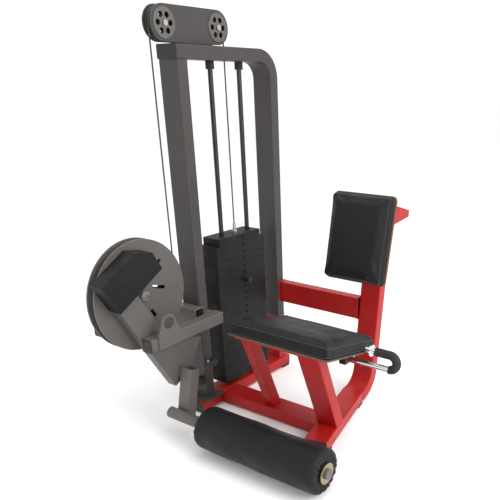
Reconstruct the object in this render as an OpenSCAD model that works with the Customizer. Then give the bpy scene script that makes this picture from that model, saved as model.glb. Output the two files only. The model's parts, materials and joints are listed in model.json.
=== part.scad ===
// Seated leg machine with a side weight stack: a cam and a swinging roller arm lift the weights.
// X runs from the weight tower to the seat, Y runs from the feet to the back rest, Z is up.
// Lengths are measured from the tower's front left corner on the floor, and place() then moves
// the machine so that the middle of its footprint is the origin.

/* [Tubes] */
// Wide face of the frame tube
tube_w = 100; // [90:1:105]
// Narrow face of the frame tube
tube_d = 50; // [46:1:52]
// Wall of every tube
wall = 3; // [2:0.5:4]
// Height of the rubber feet
foot_h = 8; // [6:1:10]

/* [Tower] */
// Height of the tower's top beam
tower_h = 1488; // [1480:1:1540]
// Length of the tower along Y
tower_len = 580; // [575:1:590]
// Outer radius of the bent rear corner
corner_r = 115; // [100:1:130]
// Radius of the cable's path on the two pulleys
pulley_r = 52; // [50:0.5:53]

/* [Weight stack] */
// Height from one plate to the next
plate_pitch = 32; // [30:1:33]
// Number of plates that stay down
resting_count = 14; // [12:1:15]
// Number of plates held by the selector pin
picked_count = 6; // [4:1:7]
// Diameter of the guide rods
rod_d = 20; // [18:1:22]

/* [Lever] */
// Radius of the cam wheel's flanges
cam_r = 215; // [205:1:218]
// Radius of the cable's path on the cam wheel
cam_pitch_r = 190; // [185:1:192]
// Lean of the lever tube, in degrees
lever_lean = 29.6; // [28:0.1:31]
// Length of the lever tube
lever_len = 455; // [454:1:480]
// Diameter of the ankle roller
roller_d = 176; // [160:1:180]
// Length of the ankle roller
roller_len = 578; // [540:1:590]

/* [Seat and back] */
// Width of the seat
seat_w = 480; // [460:1:485]
// Length of the seat
seat_len = 365; // [350:1:375]
// Fall of the seat towards the back, in degrees
seat_tilt = 13; // [12:0.5:14]
// Width of the back pad
back_w = 300; // [280:1:310]
// Height of the back pad along its slope
back_h = 373; // [360:1:380]
// Lean of the back pad, in degrees
back_tilt = 12; // [11:0.5:13]
// Lean of the upright, in degrees
upright_tilt = 7.5; // [7:0.5:8]
// Turn of the right foot in plan, in degrees
foot_turn = 13; // [12:0.5:14]

/* [Hidden] */
$fn = 48;

grey = [0.30, 0.29, 0.28];
arm_grey = [0.46, 0.44, 0.41];
red = [0.66, 0.10, 0.09];
black = [0.06, 0.06, 0.06];
iron = [0.10, 0.10, 0.11];
steel = [0.75, 0.75, 0.76];
vinyl = [0.13, 0.13, 0.14];
plywood = [0.72, 0.60, 0.42];

fit = 0.05;      // radial play of a running fit
gap = 0.5;       // side play between pieces that turn past each other
big = 900;       // side of the blocks that cut tubes off at a slope
bar_top = foot_h + tube_d;

// Tower
mid_x = tube_w / 2;
rear_y = tower_len - tube_d;
beam_z = tower_h - tube_d;
base_x = 10;
base_front = 40;
base_back = 20;
stub_h = 232;
beam_len = tower_len - corner_r;
plate_base_h = 10;

// Cable and pulleys
cable_d = 6;
cable_y = 299.5;
cam_y = -265;
cam_z = 615;
front_run_y = cam_y + cam_pitch_r;
pulley_z = 1552;
rear_pulley_y = cable_y - pulley_r;
front_pulley_y = front_run_y + pulley_r;
pulley_rim = pulley_r + 4;
pulley_w = 22;
head_r = 60;
head_t = 5;
head_gap = 34;
axle_bolt_d = 12;
cover_t = 3;

// Weight stack
rod_gap = 169;
rod_ys = [cable_y - rod_gap / 2, cable_y + rod_gap / 2];
stack_z = 80;
plate_w = 96;
plate_front = 128;
plate_back = 442;
plate_h = plate_pitch - 0.6;
picked_z = stack_z + resting_count * plate_pitch;
head_z = picked_z + picked_count * plate_pitch;
head_front = 150;
head_back = 415;
stem_d = 22;
pin_d = 10;
eye_h = 38;

// Fork and pivot
fork_s = 50;
fork_z = 420;
fork_front = -332;
near_x = 125;
far_x = -162;
bearing_od = 62;
shaft_d = 40;
housing_d = 90;
bracket_t = 12;
bracket_x = far_x + fork_s;
housing_x = bracket_x + bracket_t;
housing_end = 22;

// Lever
cam_x = 28;
cam_w = 44;
flange_t = 6;
// Slots of the cam wheel: middle along Y and Z, turn in degrees, length
cam_slots = [[85, 12, -15, 64], [85, 100, 41, 56], [45, -85, -60, 40]];
lever_x = cam_x + cam_w;
lever_y = -372;
lever_z = 628;
block_x = lever_x + 2;
block_w = 66;
block_y = -58.7;
block_l = 245;
block_h = 130;
spacer_y = -153;
spacer_z = 258;
arm_x = 135;
arm_w = 60;
axle_start = 118;
arm_len = 210;
arm_top = [-143, 285];
arm_lean = 12.9;
axle_y = -230;
axle_z = 102;
axle_tube_d = 48;
axle_d = 30;
core_d = 42;
washer_d = 80;
washer_t = 4;
roller_x = 322;

// Seat frame
beam_low = 365;
side_x = 600;
foot_len = 470;
bend_r = 110;
bend_y = 438.2;
bend_z = bar_top - tube_d / 2 + bend_r;
upright_len = 758;
bracket_tip = [178, 730];
rail_y = 88;
strut_y = 110;
strut_lean = 21;
left_strut_x = 345;
right_strut_x = 626;

// Seat, back and handles
seat_x = 590;
seat_y = -104;
seat_z = 526;
pad_t = 45;
seat_pad_t = 54;
seat_board_t = 6;
seat_th = seat_pad_t + seat_board_t;
channel_h = 25;
channel_y = 68;
channel_w = 76;
back_y = 382;
back_z = 590;
back_board_t = 12;
back_plate_t = 6;
post_s = 60;
bracket_low = 740;
handle_d = 25;
grip_d = 34;
handle_y = 150;
handle_z = 365;
handle_r = 30;
handle_half = 342.5;
ring_d = 46;
ring_t = 6;
ring_stand = 20;

// Post fittings
bumper_x = 80;
bumper_z = 147;
pull_y = 25;
pull_z = 238;
pull_d = 12;

// Middle of the footprint
left_end = far_x;
right_end = seat_x + handle_half + handle_r + grip_d / 2;
front_end = lever_y + block_y * cos(lever_lean) - block_h * sin(lever_lean);
upright_y = bend_y + bend_r * cos(upright_tilt);
upright_z = bend_z - bend_r * sin(upright_tilt);
back_end = upright_y + bracket_tip[0] * cos(upright_tilt) + bracket_tip[1] * sin(upright_tilt);

module place() {
    translate([-(left_end + right_end) / 2, -(front_end + back_end) / 2, 0]) children();
}

// Points of one rounded corner, and of a rectangle with four of them
function corner(cx, cy, r, start) =
    [for (i = [0 : 4]) [cx + r * cos(start + 22.5 * i), cy + r * sin(start + 22.5 * i)]];
function round_rect(w, d, r) = concat(
    corner(w - r, r, r, -90), corner(w - r, d - r, r, 0),
    corner(r, d - r, r, 90), corner(r, r, r, 180));

// Hollow tube that runs up +Z from its corner
module tube(w, d, len) {
    difference() {
        linear_extrude(len) polygon(round_rect(w, d, 5));
        translate([wall, wall, -1]) linear_extrude(len + 2)
            polygon(round_rect(w - 2 * wall, d - 2 * wall, 2));
    }
}

// Tube along +X: w is its width along Y and h its height
module tube_x(w, h, len) {
    rotate([90, 0, 90]) tube(w, h, len);
}

// Tube along +Y: w is its width along X and h its height
module tube_y(w, h, len) {
    translate([0, len, 0]) rotate([90, 0, 0]) tube(w, h, len);
}

// Bend of the frame tube in the YZ plane, from the direction +Y towards +Z
module bent_tube(outer, start, turn) {
    rotate([90, 0, 90]) rotate([0, 0, start]) rotate_extrude(angle = turn, $fn = 96)
        translate([outer - tube_d, 0]) difference() {
            polygon(round_rect(tube_d, tube_w, 5));
            translate([wall, wall]) polygon(round_rect(tube_d - 2 * wall, tube_w - 2 * wall, 2));
        }
}

module rod_x(d, len) {
    rotate([0, 90, 0]) cylinder(d = d, h = len);
}

module rod_y(d, len) {
    rotate([-90, 0, 0]) cylinder(d = d, h = len);
}

module ring_x(d, bore, len) {
    difference() {
        rod_x(d, len);
        translate([-1, 0, 0]) rod_x(bore, len + 2);
    }
}

// Plate in the YZ plane, t thick along X
module side_plate(points, t) {
    rotate([90, 0, 90]) linear_extrude(t) polygon(points);
}

// Frames of reference of the sloping parts
module on_seat() {
    translate([seat_x, seat_y, seat_z]) rotate([-seat_tilt, 0, 0]) children();
}
module on_back() {
    translate([side_x, back_y, back_z]) rotate([-back_tilt, 0, 0]) children();
}
module on_upright() {
    translate([side_x, upright_y, upright_z]) rotate([-upright_tilt, 0, 0]) children();
}
module on_foot() {
    translate([side_x, bend_y, 0]) rotate([0, 0, foot_turn]) children();
}
module on_lever() {
    translate([0, lever_y, lever_z]) rotate([lever_lean, 0, 0]) children();
}

// ---------- tower ----------
module base_bar() {
    color(red) translate([base_x, -base_front, foot_h])
        tube_y(tube_w, tube_d, tower_len + base_front + base_back);
}

// Front post, welded to its base plate
module front_post() {
    low = bar_top + plate_base_h;
    color(grey) {
        translate([-10, -30, bar_top]) cube([140, 110, plate_base_h]);
        translate([0, 0, low]) tube(tube_w, tube_d, beam_z - low);
    }
}

module rear_stub() {
    color(red) translate([0, rear_y, bar_top]) tube(tube_w, tube_d, stub_h);
}

module rear_post() {
    low = bar_top + stub_h;
    color(grey) {
        translate([0, rear_y, low]) tube(tube_w, tube_d, tower_h - corner_r - low);
        translate([0, beam_len, tower_h - corner_r]) bent_tube(corner_r, 0, 90);
    }
}

module top_beam() {
    color(grey) difference() {
        translate([0, 0, beam_z]) tube_y(tube_w, tube_d, beam_len);
        translate([mid_x, cable_y, beam_z - 1]) cylinder(d = 24, h = tube_d + 2);
    }
}

// Flat cap of a tube end that faces -Y
module cap_y(w, h, t) {
    rotate([90, 0, 0]) linear_extrude(t) polygon(round_rect(w, h, 5));
}

module tube_caps() {
    color(black) {
        translate([0, 0, beam_z]) cap_y(tube_w, tube_d, 5);
        for (x = [near_x, far_x]) translate([x, fork_front, fork_z]) cap_y(fork_s, fork_s, 6);
        translate([base_x, -base_front, foot_h]) cap_y(tube_w, tube_d, 4);
        on_foot() translate([-tube_w / 2, -foot_len, foot_h]) cap_y(tube_w, tube_d, 4);
    }
}

module foot_strip(w, l) {
    linear_extrude(foot_h) polygon(round_rect(w, l, 6));
}

module rubber_feet() {
    color(black) {
        for (y = [-base_front, tower_len - 40]) translate([base_x, y, 0]) foot_strip(tube_w, 60);
        on_foot() for (y = [4 - foot_len, -60]) translate([-tube_w / 2, y, 0]) foot_strip(tube_w, 60);
    }
}

// ---------- pulley head ----------
module pulley_plates() {
    color(grey) {
        for (x = [mid_x - head_gap / 2 - head_t, mid_x + head_gap / 2]) translate([x, 0, 0])
            difference() {
                union() {
                    side_plate([[front_pulley_y, pulley_z - head_r], [rear_pulley_y, pulley_z - head_r],
                        [rear_pulley_y, pulley_z + head_r], [front_pulley_y, pulley_z + head_r]], head_t);
                    for (y = [front_pulley_y, rear_pulley_y])
                        translate([0, y, pulley_z]) rod_x(2 * head_r, head_t);
                }
                for (y = [front_pulley_y, rear_pulley_y])
                    translate([-1, y, pulley_z]) rod_x(88, head_t + 2);
            }
        translate([mid_x - head_gap / 2, 60, tower_h]) cube([head_gap, 105, 42]);
    }
}

// Ring of six round holes about +Z
module six_holes(d, r, t) {
    for (a = [0 : 60 : 300]) rotate(a) translate([r, 0, 0]) cylinder(d = d, h = t);
}

module pulley_covers() {
    near = mid_x + head_gap / 2 + head_t;
    far = mid_x - head_gap / 2 - head_t - cover_t;
    color(arm_grey) for (x = [far, near], y = [front_pulley_y, rear_pulley_y])
        translate([x, y, pulley_z]) rotate([90, 0, 90]) difference() {
            cylinder(r = 50, h = cover_t);
            translate([0, 0, -1]) six_holes(20, 29, cover_t + 2);
            translate([0, 0, -1]) cylinder(d = axle_bolt_d, h = cover_t + 2);
        }
}

module pulley_bolts() {
    reach = head_gap / 2 + head_t + cover_t;
    color(steel) for (y = [front_pulley_y, rear_pulley_y]) translate([mid_x, y, pulley_z]) {
        translate([-reach - 7, 0, 0]) rod_x(axle_bolt_d, 2 * reach + 14);
        for (x = [-reach - 7, reach]) translate([x, 0, 0]) rotate([0, 90, 0])
            cylinder(d = 22, h = 7, $fn = 6);
    }
}

module pulley(y) {
    groove = pulley_r - cable_d / 2 - 0.4;
    color(black) translate([mid_x, y, pulley_z]) rotate([0, 90, 0]) difference() {
        rotate_extrude($fn = 96) polygon([
            [axle_bolt_d / 2 + fit, -pulley_w / 2], [18, -pulley_w / 2], [18, -3], [44, -3],
            [44, -pulley_w / 2], [pulley_rim, -pulley_w / 2], [pulley_rim, -7], [groove, -4],
            [groove, 4], [pulley_rim, 7], [pulley_rim, pulley_w / 2], [44, pulley_w / 2],
            [44, 3], [18, 3], [18, pulley_w / 2], [axle_bolt_d / 2 + fit, pulley_w / 2]]);
        translate([0, 0, -4]) six_holes(16, 31, 8);
    }
}
module front_pulley() {
    pulley(front_pulley_y);
}
module rear_pulley() {
    pulley(rear_pulley_y);
}

// ---------- weight stack ----------
module guide_rod(y) {
    color(steel) translate([mid_x, y, bar_top]) cylinder(d = rod_d, h = beam_z - bar_top);
}
module front_guide_rod() {
    guide_rod(rod_ys[0]);
}
module rear_guide_rod() {
    guide_rod(rod_ys[1]);
}

// Rings on both guide rods
module rod_rings(d, z, h) {
    color(black) for (y = rod_ys) translate([mid_x, y, z]) difference() {
        cylinder(d = d, h = h);
        translate([0, 0, -1]) cylinder(d = rod_d, h = h + 2);
    }
}
module rod_collars() {
    rod_rings(34, beam_z - 30, 30);
}
module stack_cushions() {
    rod_rings(60, bar_top, stack_z - bar_top - gap);
}

// One weight plate with bores for the rods, the selector rod and the pin
module weight_plate(z, front, back, rod_bore, stem_bore) {
    translate([0, 0, z]) difference() {
        translate([mid_x - plate_w / 2, front, 0]) cube([plate_w, back - front, plate_h]);
        for (y = rod_ys) translate([mid_x, y, -1]) cylinder(d = rod_bore, h = plate_h + 2);
        translate([mid_x, cable_y, -1]) cylinder(d = stem_bore, h = plate_h + 2);
        translate([mid_x, cable_y, plate_pitch / 2]) rod_x(pin_d + 2 * fit, plate_w);
    }
}
module resting_plates() {
    color(iron) for (i = [0 : resting_count - 1])
        weight_plate(stack_z + i * plate_pitch, plate_front, plate_back, rod_d + 2, stem_d + 4);
}
module picked_plates() {
    color(iron) for (i = [0 : picked_count - 1])
        weight_plate(picked_z + i * plate_pitch, plate_front, plate_back, rod_d + 2 * fit,
            stem_d + 4);
}
module head_plate() {
    color(iron) weight_plate(head_z, head_front, head_back, rod_d + 2 * fit, stem_d);
}

// Rod that hangs from the head plate, with a cross hole for every plate
module selector_rod() {
    low = stack_z + 8;
    color(steel) difference() {
        translate([mid_x, cable_y, low]) cylinder(d = stem_d, h = head_z + plate_h - low);
        for (i = [0 : resting_count + picked_count - 1])
            translate([mid_x - stem_d, cable_y, stack_z + (i + 0.5) * plate_pitch])
                rod_x(pin_d + 2 * fit, 2 * stem_d);
    }
}

module cable_eye() {
    color(steel) translate([mid_x, cable_y, head_z + plate_h]) {
        cylinder(d = 28, h = 10, $fn = 6);
        cylinder(d = 16, h = eye_h);
    }
}

module selector_pin() {
    side = mid_x + plate_w / 2;
    z = picked_z + plate_pitch / 2;
    color(steel) translate([mid_x - 12, cable_y, z]) rod_x(pin_d, side + 2 - mid_x + 12);
    color(black) translate([side + 1, cable_y, z]) rod_x(26, 30);
}

// ---------- cable ----------
module stack_cable() {
    low = head_z + plate_h + eye_h;
    color(steel) translate([mid_x, cable_y, low]) cylinder(d = cable_d, h = pulley_z - low);
}

module cable_turn(r, start, turn) {
    rotate([90, 0, 90]) rotate([0, 0, start]) rotate_extrude(angle = turn, $fn = 96)
        translate([r, 0]) circle(d = cable_d, $fn = 24);
}

// Over both pulleys and down to the cam, where it ends just clear of the turn in the groove
module front_cable() {
    low = cam_z + 50;
    color(steel) translate([mid_x, 0, 0]) {
        translate([0, rear_pulley_y, pulley_z]) cable_turn(pulley_r, 0, 90);
        translate([0, front_pulley_y, pulley_z + pulley_r])
            rod_y(cable_d, rear_pulley_y - front_pulley_y);
        translate([0, front_pulley_y, pulley_z]) cable_turn(pulley_r, 90, 90);
        translate([0, front_run_y, low]) cylinder(d = cable_d, h = pulley_z - low);
    }
}

module cam_cable() {
    color(steel) translate([mid_x, cam_y, cam_z]) cable_turn(cam_pitch_r, 0, 360);
}

// ---------- fork ----------
module near_fork_tube() {
    color(arm_grey) {
        translate([near_x, fork_front, fork_z]) tube_y(fork_s, fork_s, 60 - fork_front);
        translate([tube_w, 0, fork_z]) cube([near_x - tube_w, tube_d, fork_s]);
    }
}

module far_fork_tube() {
    color(arm_grey) translate([far_x, fork_front, fork_z]) tube_y(fork_s, fork_s, -fork_front);
}

module fork_cross_tube() {
    x = far_x + fork_s;
    color(arm_grey) translate([x, -tube_d, 400]) tube_x(tube_d, tube_w, near_x - x);
}

// Ear with a round hole on the outer face of the near fork tube
module lug_plate() {
    hole_y = -245;
    hole_z = 520;
    color(arm_grey) translate([near_x + fork_s, 0, 0]) difference() {
        union() {
            side_plate([[-300, 425], [-190, 425], [-190, 480], [hole_y + 35, hole_z],
                [hole_y - 35, hole_z], [-300, 480]], 8);
            translate([0, hole_y, hole_z]) rod_x(70, 8);
        }
        translate([-1, hole_y, hole_z]) rod_x(50, 10);
    }
}

// Bracket on the far fork tube with the tube that holds the bearings
module bearing_housing() {
    head = 55;
    color(arm_grey) {
        translate([bracket_x, 0, 0]) difference() {
            union() {
                side_plate([[cam_y - 60, 425], [cam_y + 60, 425], [cam_y + head, cam_z],
                    [cam_y - head, cam_z]], bracket_t);
                translate([0, cam_y, cam_z]) rod_x(2 * head, bracket_t);
            }
            translate([-1, cam_y, cam_z]) rod_x(bearing_od - 12, bracket_t + 2);
        }
        translate([housing_x, cam_y, cam_z]) ring_x(housing_d, bearing_od, housing_end - housing_x);
    }
}

module pivot_bearings() {
    color(steel) for (x = [housing_x + 4, housing_end - 22])
        translate([x, cam_y, cam_z]) ring_x(bearing_od, shaft_d + 2 * fit, 18);
}

// ---------- lever ----------
module pivot_shaft() {
    left = housing_x + 2;
    color(steel) translate([left, cam_y, cam_z]) rod_x(shaft_d, lever_x + 22 - left);
}

// Two flanges, a grooved rim and a hub, with slots in the near flange
module cam_wheel() {
    groove = cam_pitch_r - cable_d / 2;
    color(arm_grey) translate([cam_x, cam_y, cam_z]) difference() {
        union() {
            for (x = [0, cam_w - flange_t]) translate([x, 0, 0])
                rotate([0, 90, 0]) cylinder(r = cam_r, h = flange_t, $fn = 96);
            ring_x(2 * groove, 2 * groove - 30, cam_w);
            rod_x(90, cam_w);
        }
        translate([-1, 0, 0]) rod_x(shaft_d, cam_w + 2);
        for (slot = cam_slots) translate([-1, slot[0], slot[1]]) rotate([slot[2], 0, 0])
            translate([0, -slot[3] / 2, -7]) cube([cam_w + 2, slot[3], 14]);
    }
}

// Lever tube with the triangular gusset welded behind its lower end
module lever_tube() {
    face = tube_w / 2;
    color(arm_grey) on_lever() {
        translate([lever_x, -face, -lever_len]) tube(tube_d, tube_w, lever_len);
        translate([lever_x + tube_d - 15, 0, 0]) side_plate([[face - 1, -266],
            [face - 1, -lever_len], [face + 25, -lever_len], [180, -397]], 8);
    }
}

module counterweight() {
    end = block_y + block_l;
    color(black) on_lever() translate([block_x, 0, 0])
        side_plate([[block_y, 0], [end, 0], [end, 80], [end - 60, block_h],
            [block_y, block_h]], block_w);
}

// Square arm with the stub that joins it to the lever tube
module roller_arm() {
    inner = lever_x + tube_d;
    color(arm_grey) {
        difference() {
            translate([arm_x, arm_top[0], arm_top[1]]) rotate([-arm_lean, 0, 0])
                translate([0, -fork_s / 2, -arm_len]) tube(arm_w, fork_s, arm_len);
            translate([arm_x - 1, axle_y, axle_z]) rod_x(axle_tube_d, arm_w + 2);
        }
        translate([inner, spacer_y, spacer_z]) rod_x(44, arm_x - inner);
    }
}

// Thick tube beside the arm and a thinner axle through the roller, with its end collar
module roller_axle() {
    end = roller_x + roller_len + washer_t + gap;
    shoulder = roller_x - washer_t - gap;
    color(steel) {
        translate([axle_start, axle_y, axle_z]) rod_x(axle_tube_d, shoulder - axle_start);
        translate([shoulder - 1, axle_y, axle_z]) rod_x(axle_d, end + 8 - shoulder + 1);
        translate([end, axle_y, axle_z]) rod_x(axle_d + 10, 8);
    }
}

module roller_core() {
    color([0.72, 0.63, 0.42]) translate([roller_x, axle_y, axle_z]) difference() {
        union() {
            translate([-washer_t, 0, 0]) rod_x(core_d, roller_len + 2 * washer_t);
            for (x = [-washer_t, roller_len]) translate([x, 0, 0]) rod_x(washer_d, washer_t);
        }
        translate([-washer_t - 1, 0, 0]) rod_x(axle_d + 2 * fit, roller_len + 2 * washer_t + 2);
    }
}

module roller_foam() {
    color(vinyl) translate([roller_x, axle_y, axle_z]) ring_x(roller_d, core_d, roller_len);
}

// ---------- post fittings ----------
module stop_bumper() {
    color(black) translate([bumper_x, -30, bumper_z]) rod_y(40, 30);
}
module pull_pin_sleeve() {
    color(steel) translate([tube_w, pull_y, pull_z]) ring_x(26, pull_d + 2 * fit, 16);
}
module pull_pin() {
    color(steel) translate([tube_w + gap, pull_y, pull_z]) rod_x(pull_d, 20);
    color(black) translate([tube_w + 18, pull_y, pull_z]) rod_x(34, 23);
}

// ---------- seat frame ----------
module cross_beam() {
    color(red) translate([tube_w, rear_y + 15, beam_low])
        tube_x(tube_d, tube_w, side_x - 1.5 * tube_w);
}

// Rail with its right end cut along the turned foot
module base_rail() {
    start = base_x + tube_w;
    edge = side_x - tube_w / 2 / cos(foot_turn);
    end_near = edge + (bend_y - rail_y) * tan(foot_turn);
    end_far = edge + (bend_y - rail_y - tube_w) * tan(foot_turn);
    color(red) translate([0, rail_y, foot_h]) difference() {
        linear_extrude(tube_d)
            polygon([[start, 0], [end_near, 0], [end_far, tube_w], [start, tube_w]]);
        translate([start - 1, wall, wall])
            cube([end_far - start - 5, tube_w - 2 * wall, tube_d - 2 * wall]);
    }
}

module right_foot() {
    color(red) difference() {
        on_foot() translate([-tube_w / 2, -foot_len, foot_h])
            tube_y(tube_w, tube_d, foot_len + 30);
        translate([side_x - tube_w, bend_y, 0]) cube([2 * tube_w, tube_w, tube_w]);
    }
}

module upright_bend() {
    color(red) translate([side_x - tube_w / 2, bend_y, bend_z])
        bent_tube(bend_r + tube_d / 2, -90, 90 - upright_tilt);
}

module upright() {
    color(red) on_upright() translate([-tube_w / 2, -tube_d / 2, 0])
        tube(tube_w, tube_d, upright_len);
}

// Tapered box behind the top of the upright
module top_bracket() {
    root = tube_d / 2;
    color(red) on_upright() translate([-tube_w / 2, 0, 0]) side_plate([[root, 667],
        [bracket_tip[0], bracket_tip[1] - 28], bracket_tip, [root, 755]], tube_w);
}

// Leaning strut from the floor frame to the channel under the seat
module strut(x, w) {
    color(red) difference() {
        translate([x, strut_y, bar_top]) rotate([strut_lean, 0, 0]) translate([0, 0, -30])
            tube(w, tube_d, 520);
        translate([x - 10, strut_y - 100, bar_top - tube_w]) cube([w + 20, 250, tube_w]);
        on_seat() translate([-big / 2, -big / 2, -seat_th - channel_h]) cube(big);
    }
}
module left_strut() {
    strut(left_strut_x, tube_d);
}
module right_strut() {
    strut(right_strut_x, tube_w);
}

module seat_channel() {
    color(red) on_seat() translate([-250, channel_y, -seat_th - channel_h])
        tube_x(channel_w, channel_h, 400);
}

// ---------- seat and back ----------
module seat_cushion() {
    color(vinyl) on_seat() translate([-seat_w / 2, 0, -seat_pad_t]) linear_extrude(seat_pad_t)
        polygon(round_rect(seat_w, seat_len, 12));
}

module seat_board() {
    color(plywood) on_seat() translate([-seat_w / 2 + 5, 5, -seat_th])
        linear_extrude(seat_board_t) polygon(round_rect(seat_w - 10, seat_len - 10, 10));
}

// Bolt heads under the board, beside the channel
module seat_bolts() {
    color(steel) on_seat() for (x = [-190, -30, 120], y = [channel_y - 14, channel_y + channel_w + 14])
        translate([x, y, -seat_th - 6]) cylinder(d = 16, h = 6, $fn = 6);
}

module back_cushion() {
    color(vinyl) on_back() translate([-back_w / 2, pad_t, 0]) rotate([90, 0, 0])
        linear_extrude(pad_t) polygon(round_rect(back_w, back_h, 22));
}

module back_board() {
    color(plywood) on_back() translate([-back_w / 2 + 3, pad_t + back_board_t, 3])
        rotate([90, 0, 0]) linear_extrude(back_board_t)
            polygon(round_rect(back_w - 6, back_h - 6, 20));
}

// Square stand-off tube with the plate that the back board is screwed to
module back_bracket() {
    plate_y = pad_t + back_board_t;
    color(red) {
        on_back() translate([-70, plate_y, 120]) cube([140, back_plate_t, 160]);
        difference() {
            translate([side_x - post_s / 2, back_y + 60, bracket_low]) tube_y(post_s, post_s, 200);
            on_back() translate([-big / 2, plate_y + back_plate_t - big, -big / 2]) cube(big);
            on_upright() translate([-big / 2, -tube_d / 2, 0]) cube(big);
        }
    }
}

// ---------- handles ----------
// Both sides of the handle, mirrored about the middle of the seat
module both_handles() {
    for (s = [0, 1]) translate([seat_x, handle_y, handle_z]) mirror([s, 0, 0]) children();
}

// Half turn at the outer end of a loop
module handle_turn(d, bore) {
    translate([handle_half, 0, handle_r]) rotate([90, 0, 0]) rotate([0, 0, -90])
        rotate_extrude(angle = 180) translate([handle_r, 0]) difference() {
            circle(d = d);
            if (bore > 0) circle(d = bore);
        }
}

module handle_bar() {
    top = 2 * handle_r;
    side = seat_w / 2;
    color(steel) {
        translate([seat_x - handle_half, handle_y, handle_z]) rod_x(handle_d, 2 * handle_half);
        both_handles() {
            handle_turn(handle_d, 0);
            translate([side + gap, 0, top]) rod_x(handle_d, handle_half - side - gap);
            translate([side + ring_stand, 0, top]) rod_x(ring_d, ring_t);
        }
    }
}

module handle_grips() {
    color(black) both_handles() {
        handle_turn(grip_d, handle_d);
        translate([handle_half - 60, 0, 2 * handle_r]) ring_x(grip_d, handle_d, 60);
    }
}

// Saddle blocks between the seat board and the handle bar
module handle_clamps() {
    color(black) difference() {
        for (x = [seat_x - 160, seat_x + 130]) translate([x, handle_y - 22, handle_z - 20])
            cube([30, 44, 90]);
        on_seat() translate([-big / 2, -big / 2, -seat_th]) cube(big);
        translate([seat_x - handle_half, handle_y, handle_z]) rod_x(handle_d, 2 * handle_half);
    }
}

place() base_bar();
place() front_post();
place() rear_stub();
place() rear_post();
place() top_beam();
place() tube_caps();
place() rubber_feet();
place() pulley_plates();
place() pulley_covers();
place() pulley_bolts();
place() front_pulley();
place() rear_pulley();
place() front_guide_rod();
place() rear_guide_rod();
place() rod_collars();
place() stack_cushions();
place() resting_plates();
place() picked_plates();
place() head_plate();
place() selector_rod();
place() cable_eye();
place() selector_pin();
place() stack_cable();
place() front_cable();
place() cam_cable();
place() near_fork_tube();
place() far_fork_tube();
place() fork_cross_tube();
place() lug_plate();
place() bearing_housing();
place() pivot_bearings();
place() pivot_shaft();
place() cam_wheel();
place() lever_tube();
place() counterweight();
place() roller_arm();
place() roller_axle();
place() roller_core();
place() roller_foam();
place() stop_bumper();
place() pull_pin_sleeve();
place() pull_pin();
place() cross_beam();
place() base_rail();
place() right_foot();
place() upright_bend();
place() upright();
place() top_bracket();
place() left_strut();
place() right_strut();
place() seat_channel();
place() seat_cushion();
place() seat_board();
place() seat_bolts();
place() back_cushion();
place() back_board();
place() back_bracket();
place() handle_bar();
place() handle_grips();
place() handle_clamps();
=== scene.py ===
"""Looks of the seated leg machine: pads, roller cover, welds, cable, materials, light and camera.

Lengths are in metres, in the frame's own axes: +X to the seat, +Y to the back rest, +Z up.
"""
import json
import math

import bmesh
import bpy
import numpy as np
from mathutils import Matrix, Vector
from mathutils.bvhtree import BVHTree


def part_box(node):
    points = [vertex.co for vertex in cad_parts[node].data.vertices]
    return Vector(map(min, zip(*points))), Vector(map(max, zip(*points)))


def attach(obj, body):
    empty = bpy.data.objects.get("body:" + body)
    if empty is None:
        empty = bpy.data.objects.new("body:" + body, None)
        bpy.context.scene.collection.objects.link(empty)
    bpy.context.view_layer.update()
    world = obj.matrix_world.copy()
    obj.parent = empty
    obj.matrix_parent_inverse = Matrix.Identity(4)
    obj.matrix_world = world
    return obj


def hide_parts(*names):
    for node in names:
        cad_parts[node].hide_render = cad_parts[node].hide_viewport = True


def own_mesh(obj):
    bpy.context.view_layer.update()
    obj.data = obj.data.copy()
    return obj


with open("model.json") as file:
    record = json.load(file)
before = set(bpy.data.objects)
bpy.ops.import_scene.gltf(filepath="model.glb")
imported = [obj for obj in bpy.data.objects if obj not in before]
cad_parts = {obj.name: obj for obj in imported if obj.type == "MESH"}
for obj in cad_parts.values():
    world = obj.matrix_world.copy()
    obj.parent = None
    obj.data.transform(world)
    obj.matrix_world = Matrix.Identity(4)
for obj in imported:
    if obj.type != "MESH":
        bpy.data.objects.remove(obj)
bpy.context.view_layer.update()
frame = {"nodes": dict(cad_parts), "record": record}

SEAT_TILT = math.radians(13)
BACK_TILT = math.radians(12)
SEAT_THICK = 0.054
BACK_THICK = 0.045
SEAT_CORNER = 0.014
BACK_CORNER = 0.024
VOXEL = 0.006
PIPING_R = 0.0024
PRESSURE = 4.0
SWELL = 0.006
SWELL_CAP = 0.010
CROWN_RISE = 0.005
SIDE_DIP = 0.002
EDGE_ROUND = 0.012
SEAM_DROP = 0.006
LOW_SEAM = 0.005
WELD_R = 0.0028
FLOOR_HALF = 40
# Name, place, width and power in watts of each area light
LIGHTS = [
    ("key", (3.8, -0.2, 2.6), 2.2, 110),
    ("top", (0.6, 0.3, 4.0), 3.0, 45),
    ("front", (0.5, -4.2, 1.8), 2.4, 14),
]
# Camera: from the front corner of the post's foot, how far it looks down and turns, its lens
CAMERA_FROM_CORNER = (1.888, -1.7065, 1.3605)
LOOK_DOWN = 24.2
LOOK_ROUND = 34.1
LENS = 43.6
SHIFT = (-0.147, 0.209)


# ---------- mesh helpers ----------
def new_piece(name, verts, faces, smooth=True):
    mesh = bpy.data.meshes.new(name)
    mesh.from_pydata([tuple(v) for v in verts], [], faces)
    mesh.validate()
    mesh.update()
    mesh.polygons.foreach_set("use_smooth", [smooth] * len(mesh.polygons))
    piece = bpy.data.objects.new(name, mesh)
    bpy.context.scene.collection.objects.link(piece)
    fix = bmesh.new()
    fix.from_mesh(mesh)
    bmesh.ops.recalc_face_normals(fix, faces=fix.faces)
    fix.to_mesh(mesh)
    fix.free()
    return piece


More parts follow.
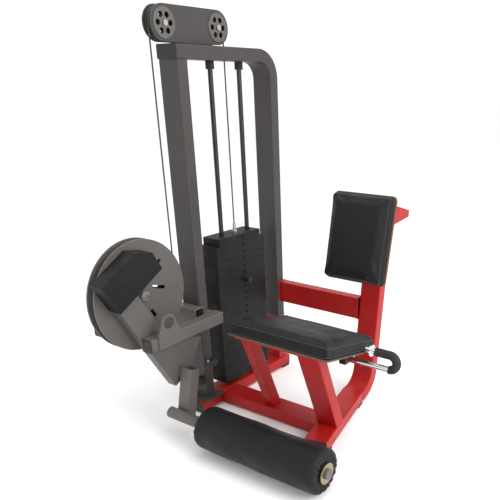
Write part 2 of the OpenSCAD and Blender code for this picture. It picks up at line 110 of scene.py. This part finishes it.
def round_outline(w, h, r, steps=8):
    """Points of a rectangle centred on the origin with round corners."""
    points = []
    for cx, cy, start in ((w / 2 - r, h / 2 - r, 0), (-w / 2 + r, h / 2 - r, 90),
                          (-w / 2 + r, -h / 2 + r, 180), (w / 2 - r, -h / 2 + r, 270)):
        for i in range(steps + 1):
            a = math.radians(start + 90 * i / steps)
            points.append((cx + r * math.cos(a), cy + r * math.sin(a)))
    return points


def lofted(loops):
    """Closed solid through loops of equally many points, capped at both ends."""
    n = len(loops[0])
    verts = [p for loop in loops for p in loop]
    faces = [(k * n + i, k * n + (i + 1) % n, (k + 1) * n + (i + 1) % n, (k + 1) * n + i)
             for k in range(len(loops) - 1) for i in range(n)]
    faces.append(tuple(reversed(range(n))))
    faces.append(tuple(range((len(loops) - 1) * n, len(loops) * n)))
    return verts, faces


def sweep(points, radius, closed, sides=10):
    """Verts and faces of a round tube along points."""
    pts = [Vector(p) for p in points]
    count = len(pts)
    verts, faces = [], []
    side = None
    for i, p in enumerate(pts):
        before = pts[i - 1] if closed or i > 0 else p
        after = pts[(i + 1) % count] if closed or i < count - 1 else p
        along = (after - before).normalized()
        if side is None:
            side = along.orthogonal().normalized()
        side = (side - along * side.dot(along)).normalized()
        up = along.cross(side)
        for k in range(sides):
            a = 2 * math.pi * k / sides
            verts.append(p + side * (radius * math.cos(a)) + up * (radius * math.sin(a)))
    for i in range(count if closed else count - 1):
        j = (i + 1) % count
        for k in range(sides):
            m = (k + 1) % sides
            faces.append((i * sides + k, i * sides + m, j * sides + m, j * sides + k))
    if not closed:
        faces.append(tuple(reversed(range(sides))))
        faces.append(tuple(range((count - 1) * sides, count * sides)))
    return verts, faces


def joined(name, parts):
    verts, faces = [], []
    for part_verts, part_faces in parts:
        base = len(verts)
        verts += list(part_verts)
        faces += [tuple(base + i for i in face) for face in part_faces]
    return new_piece(name, verts, faces)


def dense(points, step):
    """The closed outline again, with a point at least every step."""
    out = []
    for a, b in zip(points, points[1:] + points[:1]):
        a, b = Vector(a), Vector(b)
        n = max(1, math.ceil((b - a).length / step))
        out += [a.lerp(b, i / n) for i in range(n)]
    return out


# ---------- padded pieces ----------
def pad_form(name, w, h, thick, r, edge):
    """Upholstered block, flat below and crowned above: X by Y, from z = 0 to thick."""
    loops = [[(x, y, 0) for x, y in round_outline(w - 0.004, h - 0.004, r)]]
    for i in range(6):
        a = math.radians(90 * i / 5)
        inset = edge * (1 - math.cos(a))
        z = thick - edge + edge * math.sin(a)
        outline = round_outline(w - 2 * inset, h - 2 * inset, max(r - inset, 0.004))
        loops.append([(x, y, z) for x, y in outline])
    return new_piece(name, *lofted(loops))


def apply_modifiers(piece):
    shape = piece.evaluated_get(bpy.context.evaluated_depsgraph_get())
    mesh = bpy.data.meshes.new_from_object(shape)
    piece.modifiers.clear()
    piece.data = mesh


def coords(piece):
    co = np.empty(len(piece.data.vertices) * 3)
    piece.data.vertices.foreach_get("co", co)
    return co.reshape(-1, 3)


def set_coords(piece, co):
    piece.data.vertices.foreach_set("co", co.ravel())
    piece.data.update()


def inflate(piece, pressure, cap):
    """Swells the pad with cloth under pressure. Its underside is held by the board."""
    remesh = piece.modifiers.new("remesh", "REMESH")
    remesh.mode = "VOXEL"
    remesh.voxel_size = VOXEL
    apply_modifiers(piece)
    rest = coords(piece)
    held = piece.vertex_groups.new(name="held")
    held.add([int(i) for i in np.nonzero(rest[:, 2] < 0.008)[0]], 1.0, "REPLACE")
    cloth = piece.modifiers.new("cloth", "CLOTH")
    cloth.settings.use_pressure = True
    cloth.settings.uniform_pressure_force = pressure
    cloth.settings.effector_weights.gravity = 0
    cloth.settings.vertex_group_mass = "held"
    cloth.point_cache.frame_start = 1
    cloth.point_cache.frame_end = 20
    for number in range(1, 21):
        bpy.context.scene.frame_set(number)
    apply_modifiers(piece)
    bpy.context.scene.frame_set(1)
    moved = coords(piece) - rest
    far = np.linalg.norm(moved, axis=1, keepdims=True)
    set_coords(piece, rest + moved * np.minimum(1, cap / np.maximum(far, 1e-9)))
    smooth = piece.modifiers.new("smooth", "SMOOTH")
    smooth.factor = 0.5
    smooth.iterations = 6
    subdivide = piece.modifiers.new("subdivide", "SUBSURF")
    subdivide.levels = 1
    apply_modifiers(piece)
    piece.vertex_groups.clear()
    co = coords(piece)
    co[:, 2] = np.maximum(co[:, 2], 0.0)
    set_coords(piece, co)
    piece.data.polygons.foreach_set("use_smooth", [True] * len(piece.data.polygons))


def crown(piece, w, h, thick, rise, dip):
    """Raises the middle of the top and pulls the sides in between the corners."""
    co = coords(piece)
    u, v = 2 * co[:, 0] / w, 2 * co[:, 1] / h
    top = np.clip(co[:, 2] / thick, 0, 1)
    co[:, 2] += rise * top * np.clip(1 - u ** 2, 0, 1) * np.clip(1 - v ** 2, 0, 1)
    co[:, 0] -= dip * u * np.clip(1 - v ** 2, 0, 1)
    co[:, 1] -= dip * v * np.clip(1 - u ** 2, 0, 1)
    set_coords(piece, co)


def piping(name, pad, w, h, r, z):
    """Cord sewn round the pad, laid on its finished surface."""
    tree = BVHTree.FromPolygons([v.co for v in pad.data.vertices],
                                [p.vertices[:] for p in pad.data.polygons])
    path = [tree.find_nearest(Vector((p.x, p.y, z)))[0]
            for p in dense([(x, y, 0) for x, y in round_outline(w, h, r)], 0.012)]
    for _ in range(3):
        path = [(path[i - 1] + path[i] * 2 + path[(i + 1) % len(path)]) / 4
                for i in range(len(path))]
    return joined(name, [sweep(path, PIPING_R, True)])


def make_pad(name, node, w, h, thick, r, place):
    """Pad and piping for a CAD cushion; place takes the pad's own frame to the machine's."""
    pad = pad_form(name, w - 2 * SWELL, h - 2 * SWELL, thick - SWELL, r, EDGE_ROUND)
    inflate(pad, PRESSURE, SWELL_CAP)
    crown(pad, w, h, thick, CROWN_RISE, SIDE_DIP)
    cords = [piping(f"{name}_piping_{where}", pad, w, h, r, z)
             for where, z in (("top", thick - SEAM_DROP), ("low", LOW_SEAM))]
    for piece in [pad] + cords:
        piece.data.transform(place)
        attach(piece, "root")
    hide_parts(node)
    return pad, cords


def seat_place():
    """Frame of the seat pad: the middle of its underside, +Z out of the top."""
    low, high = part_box("seat_cushion")
    length = seat_length()
    front = Vector(((low.x + high.x) / 2, low.y + SEAT_THICK * math.sin(SEAT_TILT), high.z))
    turn = Matrix.Rotation(-SEAT_TILT, 4, "X")
    return Matrix.Translation(front) @ turn @ Matrix.Translation((0, length / 2, -SEAT_THICK))


def seat_length():
    low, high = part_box("seat_cushion")
    return (high.y - low.y - SEAT_THICK * math.sin(SEAT_TILT)) / math.cos(SEAT_TILT)


def back_height():
    low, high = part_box("back_cushion")
    return (high.z - low.z - BACK_THICK * math.sin(BACK_TILT)) / math.cos(BACK_TILT)


def back_place():
    """Frame of the back pad: +Z comes out of its front, +Y goes up its slope."""
    low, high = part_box("back_cushion")
    foot = Vector(((low.x + high.x) / 2, low.y, low.z + BACK_THICK * math.sin(BACK_TILT)))
    lean = Matrix.Rotation(-BACK_TILT, 4, "X")
    upright = Matrix.Rotation(math.pi / 2, 4, "X")
    shift = Matrix.Translation((0, BACK_THICK, back_height() / 2))
    return Matrix.Translation(foot) @ lean @ shift @ upright


def make_pads():
    low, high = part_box("seat_cushion")
    seat = make_pad("seat_pad", "seat_cushion", high.x - low.x, seat_length(), SEAT_THICK,
                    SEAT_CORNER, seat_place())
    low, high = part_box("back_cushion")
    back = make_pad("backrest_pad", "back_cushion", high.x - low.x, back_height(), BACK_THICK,
                    BACK_CORNER, back_place())
    return [seat, back]


def make_roller():
    """Foam roller in a vinyl cover that is gathered in pleats towards the end washers."""
    low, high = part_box("roller_foam")
    axis_y, axis_z = (low.y + high.y) / 2, (low.z + high.z) / 2
    outer, inner = (high.z - low.z) / 2, 0.0213
    length, mid = high.x - low.x, (low.x + high.x) / 2
    around, edge = 216, 0.022
    profile = []
    for i in range(9):
        t = i / 8
        profile.append((0.010 * (1 - t), inner + (outer - edge - inner) * t, 1.0))
    for i in range(1, 9):
        a = math.radians(90 * i / 8)
        profile.append((edge * (1 - math.cos(a)), outer - edge + edge * math.sin(a),
                        math.cos(a)))
    half = [(length / 2 - depth, r, p) for depth, r, p in profile]
    body = [(length / 2 - edge - (length / 2 - edge) * i / 24, outer, 0.0)
            for i in range(1, 25)]
    right = half + body
    rows = right + [(-x, r, p) for x, r, p in reversed(right[:-1])]
    verts = []
    for x, r, pleat in rows:
        for k in range(around):
            a = 2 * math.pi * k / around
            fold = math.cos(18 * a + 0.7 * math.sin(5 * a)) + 0.35 * math.cos(41 * a)
            share = pleat * min(1, max(0, (r - 0.036) / 0.02))
            slack = 0.0008 * math.sin(3 * a + 21 * x) + 0.0006 * math.sin(7 * a - 34 * x)
            rad = r + slack * (1 - pleat) - 0.0012
            out = x - math.copysign(0.0022 * share * (1 + fold), x) if share else x
            verts.append((mid + out, axis_y + rad * math.cos(a), axis_z + rad * math.sin(a)))
    count = len(rows)
    faces = [(k * around + i, k * around + (i + 1) % around,
              ((k + 1) % count) * around + (i + 1) % around, ((k + 1) % count) * around + i)
             for k in range(count) for i in range(around)]
    cover = new_piece("roller_cover", verts, faces)
    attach(cover, "roller")
    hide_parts("roller_foam")
    seam = [(mid - length / 2 + edge + (length - 2 * edge) * i / 40, axis_y,
             axis_z + outer - 0.001) for i in range(41)]
    line = joined("roller_seam", [sweep(seam, 0.0016, False)])
    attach(line, "roller")
    return cover, line


def make_stack_cable():
    low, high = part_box("stack_cable")
    x, y = (low.x + high.x) / 2, (low.y + high.y) / 2
    points = [(x, y, low.z + (high.z - low.z) * i / 12) for i in range(13)]
    cable = joined("lifting_cable", [sweep(points, (high.x - low.x) / 2, False, 20)])
    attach(cable, "root")
    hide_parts("stack_cable")
    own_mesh(cable)
    return cable


def weld_ring(node, axis, end):
    """Bead round the end face of an upright or level tube: axis 0, 1 or 2, end 0 or 1."""
    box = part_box(node)
    a, b = [i for i in range(3) if i != axis]
    size = box[1] - box[0]
    middle = (box[0] + box[1]) / 2
    points = []
    for u, v in round_outline(size[a] + 0.001, size[b] + 0.001, 0.006, 3):
        p = Vector((0, 0, 0))
        p[axis] = box[end][axis]
        p[a], p[b] = middle[a] + u, middle[b] + v
        points.append(p)
    path = dense(points, 0.004)
    verts, faces = sweep(path, WELD_R, True, 8)
    for i, vert in enumerate(verts):
        ripple = 1 + 0.16 * math.sin(2.1 * (i // 8))
        verts[i] = path[i // 8] + (vert - path[i // 8]) * ripple
    return verts, faces


def make_welds():
    red = joined("red_welds", [weld_ring("rear_stub", 2, 0), weld_ring("cross_beam", 0, 0),
                               weld_ring("cross_beam", 0, 1)])
    grey = joined("grey_welds", [weld_ring("fork_cross_tube", 0, 0),
                                 weld_ring("fork_cross_tube", 0, 1),
                                 weld_ring("rear_post", 2, 0)])
    for piece, slot in ((red, "frame_red"), (grey, "arm_grey")):
        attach(piece, "root")
    return red, grey


# ---------- materials ----------
class Shader:
    """One Principled material and short calls that add its texture nodes."""

    def __init__(self, name, rough, metal=0.0, coat=0.0, sheen=0.0, level=0.5):
        self.material = bpy.data.materials.new(name)
        self.material.use_nodes = True
        self.tree = self.material.node_tree
        self.bsdf = self.tree.nodes["Principled BSDF"]
        for socket, value in (("Roughness", rough), ("Metallic", metal), ("Coat Weight", coat),
                              ("Sheen Weight", sheen), ("Specular IOR Level", level)):
            self.bsdf.inputs[socket].default_value = value
        self.place = self.node("ShaderNodeTexCoord").outputs["Object"]

    def node(self, kind, **values):
        made = self.tree.nodes.new(kind)
        for key, value in values.items():
            setattr(made, key, value)
        return made

    def join(self, source, target):
        self.tree.links.new(source, target)

    def noise(self, scale, detail=3.0, stretch=(1, 1, 1)):
        mapping = self.node("ShaderNodeMapping")
        mapping.inputs["Scale"].default_value = stretch
        self.join(self.place, mapping.inputs["Vector"])
        noise = self.node("ShaderNodeTexNoise")
        noise.inputs["Scale"].default_value = scale
        noise.inputs["Detail"].default_value = detail
        self.join(mapping.outputs["Vector"], noise.inputs["Vector"])
        return noise.outputs["Fac"]

    def cells(self, scale):
        cells = self.node("ShaderNodeTexVoronoi", feature="DISTANCE_TO_EDGE")
        cells.inputs["Scale"].default_value = scale
        self.join(self.place, cells.inputs["Vector"])
        return self.spread(cells.outputs["Distance"], 0.0, 0.12, 0.0, 1.0)

    def spread(self, value, low, high, to_low, to_high):
        spread = self.node("ShaderNodeMapRange")
        for key, number in (("From Min", low), ("From Max", high), ("To Min", to_low),
                            ("To Max", to_high)):
            spread.inputs[key].default_value = number
        self.join(value, spread.inputs["Value"])
        return spread.outputs["Result"]

    def bands(self, direction, per_metre):
        """Stripes along a direction, from 0 to 1."""
        dot = self.node("ShaderNodeVectorMath", operation="DOT_PRODUCT")
        dot.inputs[1].default_value = direction
        self.join(self.place, dot.inputs[0])
        turns = self.node("ShaderNodeMath", operation="MULTIPLY")
        turns.inputs[1].default_value = 2 * math.pi * per_metre
        self.join(dot.outputs["Value"], turns.inputs[0])
        wave = self.node("ShaderNodeMath", operation="SINE")
        self.join(turns.outputs[0], wave.inputs[0])
        return self.spread(wave.outputs[0], -1, 1, 0, 1)

    def edges(self, radius):
        """1 on sharp edges and 0 on flat faces."""
        bevel = self.node("ShaderNodeBevel", samples=4)
        bevel.inputs["Radius"].default_value = radius
        face = self.node("ShaderNodeNewGeometry")
        dot = self.node("ShaderNodeVectorMath", operation="DOT_PRODUCT")
        self.join(bevel.outputs["Normal"], dot.inputs[0])
        self.join(face.outputs["Normal"], dot.inputs[1])
        return self.spread(dot.outputs["Value"], 0.86, 0.99, 1.0, 0.0)

    def mix(self, factor, a, b):
        """Blend of two colours; each is a triple or a socket."""
        mix = self.node("ShaderNodeMix", data_type="RGBA")
        self.join(factor, mix.inputs[0])
        for socket, colour in ((mix.inputs[6], a), (mix.inputs[7], b)):
            if isinstance(colour, tuple):
                socket.default_value = (*colour, 1)
            else:
                self.join(colour, socket)
        return mix.outputs[2]

    def colour(self, socket):
        self.join(socket, self.bsdf.inputs["Base Color"])

    def rough(self, value, low, high):
        self.join(self.spread(value, 0.3, 0.7, low, high), self.bsdf.inputs["Roughness"])

    def bump(self, value, depth, strength=1.0, below=None):
        bump = self.node("ShaderNodeBump")
        bump.inputs["Strength"].default_value = strength
        bump.inputs["Distance"].default_value = depth
        self.join(value, bump.inputs["Height"])
        if below is not None:
            self.join(below, bump.inputs["Normal"])
        self.join(bump.outputs["Normal"], self.bsdf.inputs["Normal"])
        return bump.outputs["Normal"]


def tinted(colour, factor):
    return tuple(min(1.0, c * factor) for c in colour)


def paint(name, colour, rough, worn):
    """Powder coat: cloudy tone, fine orange peel, and edges worn lighter."""
    shader = Shader(name, rough, coat=0.03, level=0.3)
    base = shader.mix(shader.noise(5), tinted(colour, 0.84), tinted(colour, 1.16))
    chips = shader.node("ShaderNodeMath", operation="MULTIPLY")
    shader.join(shader.edges(0.0022), chips.inputs[0])
    shader.join(shader.spread(shader.noise(60, 6), 0.48, 0.62, 0.0, 0.8), chips.inputs[1])
    shader.colour(shader.mix(chips.outputs[0], base, worn))
    shader.rough(shader.noise(24), rough - 0.08, rough + 0.1)
    shader.bump(shader.noise(700, 2), 0.00025, 0.5)
    return shader.material


def metal(name, colour, low, high, stretch):
    """Bare or plated metal with drawn streaks and smudges."""
    shader = Shader(name, low, metal=1.0)
    shader.colour(shader.mix(shader.noise(9), tinted(colour, 0.88), tinted(colour, 1.06)))
    shader.rough(shader.noise(60, 4, stretch), low, high)
    shader.bump(shader.noise(500, 2, stretch), 0.00005, 0.3)
    return shader.material


def hide(name, colour):
    """Grained vinyl with a soft sheen and slightly polished patches at random."""
    shader = Shader(name, 0.45, coat=0.02, sheen=0.01, level=0.22)
    tone = shader.mix(shader.noise(7), tinted(colour, 0.8), tinted(colour, 1.3))
    grain = shader.cells(420)
    shader.colour(shader.mix(grain, tinted(colour, 0.6), tone))
    shader.rough(shader.noise(18), 0.40, 0.55)
    under = shader.bump(shader.noise(26, 3), 0.0016, 0.35)
    shader.bump(grain, 0.00035, 0.6, under)
    return shader.material


def moulded(name, colour, rough, scale, depth):
    """Rubber or plastic with a matt texture."""
    shader = Shader(name, rough, level=0.35)
    shader.colour(shader.mix(shader.noise(14), tinted(colour, 0.75), tinted(colour, 1.3)))
    shader.rough(shader.noise(40), rough - 0.1, rough + 0.08)
    shader.bump(shader.noise(scale, 3), depth, 0.6)
    return shader.material


def plies(name, direction):
    """Plywood: thin layers along the board's thickness, with fine grain."""
    shader = Shader(name, 0.65, level=0.3)
    layers = shader.mix(shader.bands(direction, 260), (0.05, 0.034, 0.020), (0.12, 0.085, 0.05))
    shader.colour(shader.mix(shader.noise(90, 5, (0.15, 1, 1)), layers, (0.09, 0.064, 0.038)))
    shader.rough(shader.noise(30), 0.55, 0.75)
    shader.bump(shader.noise(240, 4, (0.1, 1, 1)), 0.0002, 0.6)
    return shader.material


def sleeved_cable(name):
    shader = Shader(name, 0.4)
    shader.colour(shader.mix(shader.noise(30), (0.012, 0.012, 0.012), (0.035, 0.035, 0.035)))
    shader.rough(shader.noise(50), 0.3, 0.5)
    shader.bump(shader.bands((0.5, 0.5, 0.9), 160), 0.0004, 0.6)
    return shader.material


def make_materials():
    seat_up = (0, math.sin(SEAT_TILT), math.cos(SEAT_TILT))
    back_out = (0, math.cos(BACK_TILT), -math.sin(BACK_TILT))
    return {
        "frame_grey": paint("frame_grey", (0.046, 0.042, 0.040), 0.46, (0.13, 0.12, 0.12)),
        "arm_grey": paint("arm_grey", (0.100, 0.092, 0.086), 0.42, (0.24, 0.23, 0.22)),
        "frame_red": paint("frame_red", (0.36, 0.008, 0.007), 0.42, (0.46, 0.08, 0.06)),
        "plates": paint("plates", (0.003, 0.003, 0.003), 0.62, (0.02, 0.02, 0.02)),
        "steel": metal("steel", (0.52, 0.52, 0.53), 0.22, 0.38, (0.1, 1, 1)),
        "chrome": metal("chrome", (0.78, 0.78, 0.80), 0.05, 0.16, (1, 1, 0.3)),
        "rods": metal("rods", (0.055, 0.053, 0.052), 0.25, 0.40, (1, 1, 0.1)),
        "washer": metal("washer", (0.34, 0.28, 0.19), 0.28, 0.45, (1, 1, 1)),
        "cable": sleeved_cable("cable"),
        "rubber": moulded("rubber", (0.016, 0.016, 0.016), 0.72, 260, 0.0006),
        "plastic": moulded("plastic", (0.018, 0.018, 0.018), 0.5, 420, 0.0003),
        "vinyl": hide("vinyl", (0.006, 0.0065, 0.0075)),
        "roller_vinyl": hide("roller_vinyl", (0.006, 0.006, 0.007)),
        "plywood": plies("plywood", seat_up),
        "back_plywood": plies("back_plywood", back_out),
        "piping": moulded("piping", (0.020, 0.020, 0.022), 0.45, 300, 0.0002),
    }


def dress(piece, material):
    piece.data.materials.clear()
    piece.data.materials.append(material)


def dress_cad(materials):
    """Every CAD node gets the material of its slot, and a board its own ply direction."""
    for part in frame["record"]["subparts"]:
        name = "back_plywood" if part["node"] == "back_board" else part["material_slot"]
        piece = frame["nodes"][part["node"]]
        for i in range(max(1, len(piece.material_slots))):
            if i < len(piece.material_slots):
                piece.material_slots[i].material = materials[name]
            else:
                piece.data.materials.append(materials[name])


# ---------- stage ----------
def area_light(name, at, aim, size, power):
    data = bpy.data.lights.new(name, "AREA")
    data.size = size
    data.energy = power
    light = bpy.data.objects.new(name, data)
    light.location = at
    light.rotation_euler = (Vector(aim) - Vector(at)).to_track_quat("-Z", "Y").to_euler()
    bpy.context.scene.collection.objects.link(light)


def make_stage():
    ground = [(-FLOOR_HALF, -FLOOR_HALF, 0), (FLOOR_HALF, -FLOOR_HALF, 0),
              (FLOOR_HALF, FLOOR_HALF, 0), (-FLOOR_HALF, FLOOR_HALF, 0)]
    floor = new_piece("floor", ground, [(0, 1, 2, 3)])
    shader = Shader("floor", 0.7, level=0.2)
    shader.colour(shader.mix(shader.noise(2), (0.93, 0.93, 0.93), (0.95, 0.95, 0.95)))
    dress(floor, shader.material)
    world = bpy.data.worlds.new("studio")
    world.use_nodes = True
    world.node_tree.nodes["Background"].inputs["Color"].default_value = (1, 1, 1, 1)
    world.node_tree.nodes["Background"].inputs["Strength"].default_value = 1.08
    bpy.context.scene.world = world
    bpy.context.scene.view_settings.view_transform = "Standard"
    middle = (0, 0, 0.6)
    for name, at, size, power in LIGHTS:
        area_light(name, at, middle, size, power)


def make_camera():
    """Camera placed from the front corner of the tower's post."""
    low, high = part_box("top_beam")
    corner = Vector((low.x, low.y, 0))
    data = bpy.data.cameras.new("camera")
    data.sensor_width = 36
    data.lens = LENS
    data.shift_x, data.shift_y = SHIFT
    camera = bpy.data.objects.new("camera", data)
    camera.location = corner + Vector(CAMERA_FROM_CORNER)
    camera.rotation_euler = (math.radians(90 - LOOK_DOWN), 0, math.radians(LOOK_ROUND))
    bpy.context.scene.collection.objects.link(camera)
    bpy.context.scene.camera = camera


make_camera()
make_stage()
materials = make_materials()
dress_cad(materials)
for pad, cords in make_pads():
    dress(pad, materials["vinyl"])
    for piece in cords:
        dress(piece, materials["piping"])
cover, seam = make_roller()
dress(cover, materials["roller_vinyl"])
dress(seam, materials["roller_vinyl"])
dress(make_stack_cable(), materials["cable"])
red_welds, grey_welds = make_welds()
dress(red_welds, materials["frame_red"])
dress(grey_welds, materials["arm_grey"])
